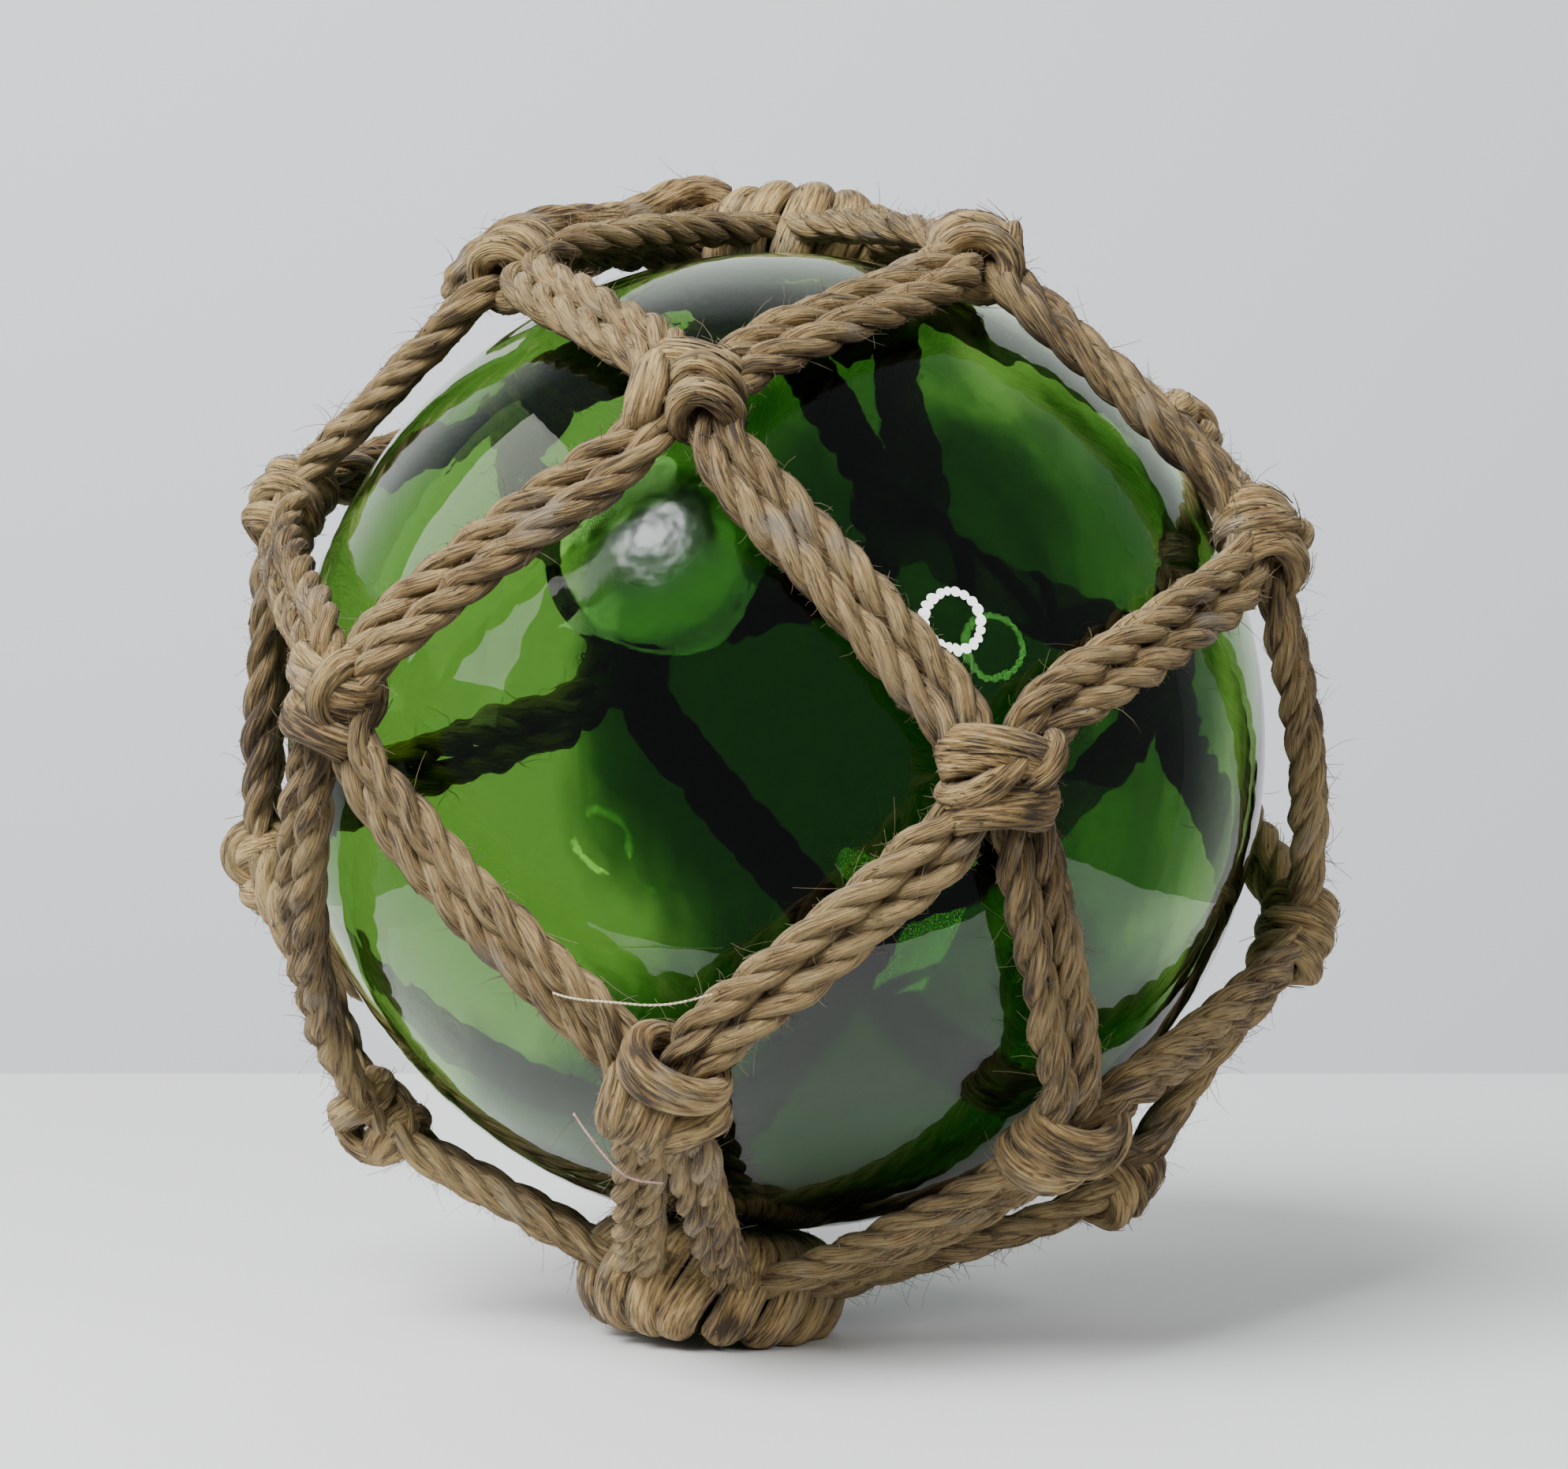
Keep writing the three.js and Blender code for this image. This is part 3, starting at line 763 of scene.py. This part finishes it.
def add_hanging_loop():
    """A doubled bight of rope, tied to the top ring by both ends, with its own loose fibres."""
    chance = random.Random(11)
    route = np.array([tuple(point) for point in spline(loop_route(), 6)])
    centres, along = resampled(route, STRAND["step"])
    side, out = axes_along(centres, unit(centres))
    turns = 2 * math.pi * along / STRAND["pitch"]
    half = ROPE / 2
    tubes = Tubes()
    tubes.add(centres, -side * half, out * half, lobed_profile(turns))
    loop = tubes.piece("hanging_loop_rope")
    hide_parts("hanging_loop")

    fluff = Tubes()
    stray_hairs(fluff, centres, side, out, np.full(len(centres), half), chance, 120)
    fibres = fluff.piece("hanging_loop_fibres")


add_hanging_loop()


# ---- the net's cords -----------------------------------------------------------------------------

def add_net_cord(number, column, first):
    """A doubled cord of the net, with every other knot on its way."""
    chance = random.Random(100 + number)
    stations, way = cord_stations(column, first)
    tubes = Tubes()
    for rope in (1, -1):
        route = [point + across * rope * ROPE_APART * spread for point, across, spread in stations]
        sizes = [1.03 if spread > 0.9 else 0.9 for _, _, spread in stations]
        lay_rope(tubes, [tuple(point) for point in route], sizes, chance.uniform(0, 6), chance)
    for r, (knot, side) in enumerate(way):
        if (r % 2 == 0) == (first < 0):
            k = knots[r].index(knot)
            tie_knot(tubes, knot, KNOT_LOOKS[r][k], KNOT_DRAWN[r][k], chance)
    cord = tubes.piece(f"net_rope_{number}")
    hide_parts(f"net_cord_{number}")


for column in range(COLUMNS):
    add_net_cord(2 * column + 1, column, -1)
    add_net_cord(2 * column + 2, column, 1)


# ---- a few loose threads -------------------------------------------------------------------------

# Each thread: its ends as bearings and latitudes of the net, its height above the centre of the
# ball, how far it sags and its colour.
THREADS = [
    {"from": (-23, -38.6), "to": (-3, -37.4), "height": 82.4, "sag": 0.5,
     "colour": (0.62, 0.5, 0.34)},
    {"from": (-20.5, -49), "to": (-8.6, -57.4), "height": 88.6, "sag": 1.0,
     "colour": (0.55, 0.33, 0.27)},
]


def add_thread(number, thread):
    """A sewing thread of two twisted plies, caught in the net at both ends."""
    chance = random.Random(60 + number)
    ends = (thread["from"], thread["to"])
    start, end = (direction(latitude, bearing) for bearing, latitude in ends)
    middle = []
    for i in range(25):
        s = i / 24
        arch = math.sin(math.pi * s)
        outward = start.lerp(end, s).normalized()
        wave = thread["sag"] * arch + 0.25 * math.sin(9 * s + number)
        middle.append(outward * (thread["height"] + 1.5 * arch) - Vector((0, 0, wave)))
    centres, along = resampled(smoothed([tuple(point) for point in middle], 2), 0.25)
    forward = tangents(centres)
    out = unit(centres)
    side = np.cross(forward, out)
    tubes = Tubes()
    for ply in (0, math.pi):
        turn = ply + 2 * math.pi * along / THREAD["twist"]
        away = np.cos(turn)[:, None] * side + np.sin(turn)[:, None] * out
        path = centres + THREAD["ply_offset"] * away
        tubes.add(path, -side * THREAD["ply_radius"], out * THREAD["ply_radius"], round_profile(5))
    stray_hairs(tubes, centres, side, out, np.full(len(centres), 0.15), chance, 10)
    piece = tubes.piece(f"thread_{number}")
    piece.data.materials[0] = plain(f"thread_{number}", thread["colour"], 0.8)


for number, thread in enumerate(THREADS, 1):
    add_thread(number, thread)


# ---- the pole rings ------------------------------------------------------------------------------

def add_ring(ring, seed):
    """A rope ring wound all round by hitches, each a flattened band."""
    chance = random.Random(seed)
    tubes = Tubes()
    turn_up = Vector((0, 0, 1)).rotation_difference(ring_axis(ring)).to_matrix()
    slope = math.asin(RING["radius"] / RING_HEIGHT)
    half_width = RING["half_width"] - HITCH["thickness"] / 2
    half_thick = RING["half_thickness"] - HITCH["thickness"] / 2
    count = HITCH["stations"]
    for wrap in range(RING["wraps"]):
        bearing = 2 * math.pi * (wrap + chance.uniform(-0.08, 0.08)) / RING["wraps"]
        slant = chance.gauss(0.17, 0.04)
        centres, sides, ups = [], [], []
        for i in range(count):
            around = 2 * math.pi * i / count
            cosine, sine = math.cos(around), math.sin(around)
            swing = bearing + sine * slant
            radial = Vector((math.cos(swing), math.sin(swing), 0))
            level = Vector((-math.sin(swing), math.cos(swing), 0))
            along = radial * math.cos(slope) - Vector((0, 0, math.sin(slope)))
            out = radial * math.sin(slope) + Vector((0, 0, math.cos(slope)))
            middle = radial * RING["radius"] + Vector((0, 0, RING_HEIGHT * math.cos(slope)))
            centre = middle + along * half_width * cosine + out * half_thick * sine
            normal = along * cosine / half_width + out * sine / half_thick
            share = math.pi * math.hypot(centre.x, centre.y) / RING["wraps"]
            width = min(HITCH["overlap"] * share, HITCH["widest"])
            centres.append(turn_up @ centre)
            sides.append(turn_up @ (level * -width))
            ups.append(turn_up @ (normal.normalized() * HITCH["thickness"] / 2))
        rows = [np.array([tuple(v) for v in row]) for row in (centres, sides, ups)]
        tubes.add(*rows, band_profile(count, 1), closed=True)
        band_fibres(tubes, *rows, chance, 30)
    piece = tubes.piece(ring["name"] + "_hitches")
    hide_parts(ring["name"])


add_ring(BOTTOM_RING, 21)
add_ring(TOP_RING, 22)


# ---- the glass ball ------------------------------------------------------------------------------

def deselect_all():
    bpy.ops.object.select_all(action="DESELECT")


def spun_shell(name, profile):
    """Spins a drawn half section round X into a closed shell. Its ends lie on the axis."""
    deselect_all()
    mesh = bpy.data.meshes.new(name)
    edges = [(i, i + 1) for i in range(len(profile) - 1)]
    mesh.from_pydata([(x, y, 0) for x, y in profile], edges, [])
    shell = bpy.data.objects.new(name, mesh)
    bpy.context.scene.collection.objects.link(shell)
    shell.select_set(True)
    bpy.context.view_layer.objects.active = shell
    bpy.ops.object.mode_set(mode="EDIT")
    bpy.ops.mesh.select_all(action="SELECT")
    bpy.ops.mesh.spin(steps=112, angle=2 * math.pi, center=(0, 0, 0), axis=(1, 0, 0))
    bpy.ops.mesh.select_all(action="SELECT")
    bpy.ops.mesh.remove_doubles(threshold=1e-6)
    bpy.ops.mesh.normals_make_consistent(inside=False)
    bpy.ops.object.mode_set(mode="OBJECT")
    return shell


def add_glass():
    """The ball: an outer skin with the seal button, and the hollow, whose glass is thicker
    at the seal and opposite to it."""
    outer, steps = [], 150
    for i in range(steps + 1):
        angle = math.pi * (i / steps) ** 1.35  # more points near the seal, at angle 0
        arm = GLASS_RADIUS * math.sin(angle)
        rise = ripple = 0
        if angle < 1:
            inside = max(0, 1 - (arm / (1.5 * SEAL["radius"])) ** 2)
            rise = SEAL["rise"] * inside ** 1.6
            ripple = 0.05 * math.sin(arm * 1.15) * min(1, arm / 3) * math.exp(-arm / 14)
        radius = GLASS_RADIUS + rise + ripple
        outer.append((radius * math.cos(angle) * MM, radius * math.sin(angle) * MM))
    inner, steps = [], 96
    for i in range(steps + 1):
        angle = math.pi * i / steps
        inner.append((HOLLOW["along"] * math.cos(angle) * MM,
                      HOLLOW["across"] * math.sin(angle) * MM))
    skin = spun_shell("glass_ball", outer)
    hollow = spun_shell("glass_hollow", inner)
    bpy.ops.object.mode_set(mode="EDIT")
    bpy.ops.mesh.select_all(action="SELECT")
    bpy.ops.mesh.flip_normals()
    bpy.ops.object.mode_set(mode="OBJECT")
    deselect_all()
    hollow.select_set(True)
    skin.select_set(True)
    bpy.context.view_layer.objects.active = skin
    bpy.ops.object.join()
    seal_way = direction(SEAL["latitude"], SEAL["bearing"])
    turn = Vector((1, 0, 0)).rotation_difference(seal_way).to_matrix()
    skin.matrix_world = Matrix.Translation(CENTRE) @ LEANED.to_4x4() @ turn.to_4x4()
    bpy.ops.object.transform_apply(location=True, rotation=True, scale=True)
    bpy.ops.object.shade_smooth()
    skin.data.materials.append(green_glass)
    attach(skin, "root")
    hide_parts("glass_float")


add_glass()


# ---- floor, backdrop and light -------------------------------------------------------------------

TABLE = {"front": -0.125, "back": 0.344, "width": 0.46}  # in metres, as are the lamps' sizes
BACKDROP = {"size": 8, "back": 1.2}
WINDOW = {"way": (-0.42, -0.56, 0.72), "distance": 1.6, "size": 0.9, "power": 64,
          "colour": (0.96, 0.98, 1)}
SIDE_WINDOW = {"way": (-0.85, -0.08, 0.55), "distance": 1.5, "size": 1.2, "power": 14,
               "colour": (1, 0.98, 0.95)}
RING_LAMP = {"way": (0.61, -0.66, 0.44), "distance": 1.2, "radius": 0.13, "lamps": 20,
             "size": 0.044, "power": 0.25}
ROOM = {"colour": (0.8, 0.83, 0.88, 1), "strength": 0.2}


def add_stage():
    """A pale table top for a floor, and a pale backdrop a good way behind it."""
    deselect_all()
    middle = (TABLE["front"] + TABLE["back"]) / 2
    bpy.ops.mesh.primitive_plane_add(size=1, location=(0, middle, 0))
    floor = bpy.context.object
    floor.name = "floor"
    floor.scale = (TABLE["width"], TABLE["back"] - TABLE["front"], 1)
    bpy.ops.object.transform_apply(scale=True)
    floor.data.materials.append(plain("pale_floor", (0.74, 0.75, 0.74), 0.6))
    bpy.ops.mesh.primitive_plane_add(size=BACKDROP["size"], location=(0, BACKDROP["back"], 0),
                                     rotation=(math.pi / 2, 0, 0))
    wall = bpy.context.object
    wall.name = "backdrop"
    wall.data.materials.append(plain("pale_backdrop", (0.96, 0.97, 0.99), 0.8))


def add_area(name, way, distance, size, power, colour=(1, 1, 1), shape="SQUARE"):
    """An area lamp that looks at the ball's centre from some way off."""
    light = bpy.data.lights.new(name, "AREA")
    light.shape = shape
    light.size = size
    light.energy = power
    light.color = colour
    lamp = bpy.data.objects.new(name, light)
    bpy.context.scene.collection.objects.link(lamp)
    way = Vector(way).normalized()
    lamp.location = CENTRE + way * distance
    lamp.rotation_euler = (-way).to_track_quat("-Z", "Y").to_euler()


def add_light():
    """Two soft windows, a ring of small lamps that shows in the glass, and a dim room."""
    add_area("window", **WINDOW)
    add_area("side_window", **SIDE_WINDOW)
    way = Vector(RING_LAMP["way"]).normalized()
    across = way.orthogonal().normalized()
    for i in range(RING_LAMP["lamps"]):
        turned = Quaternion(way, 2 * math.pi * i / RING_LAMP["lamps"]) @ across
        spot = way * RING_LAMP["distance"] + turned * RING_LAMP["radius"]
        add_area(f"ring_lamp_{i}", spot, spot.length, RING_LAMP["size"], RING_LAMP["power"],
                 shape="DISK")
    world = bpy.data.worlds.new("room")
    bpy.context.scene.world = world
    world.use_nodes = True
    background = world.node_tree.nodes["Background"]
    background.inputs["Color"].default_value = ROOM["colour"]
    background.inputs["Strength"].default_value = ROOM["strength"]


add_stage()
add_light()
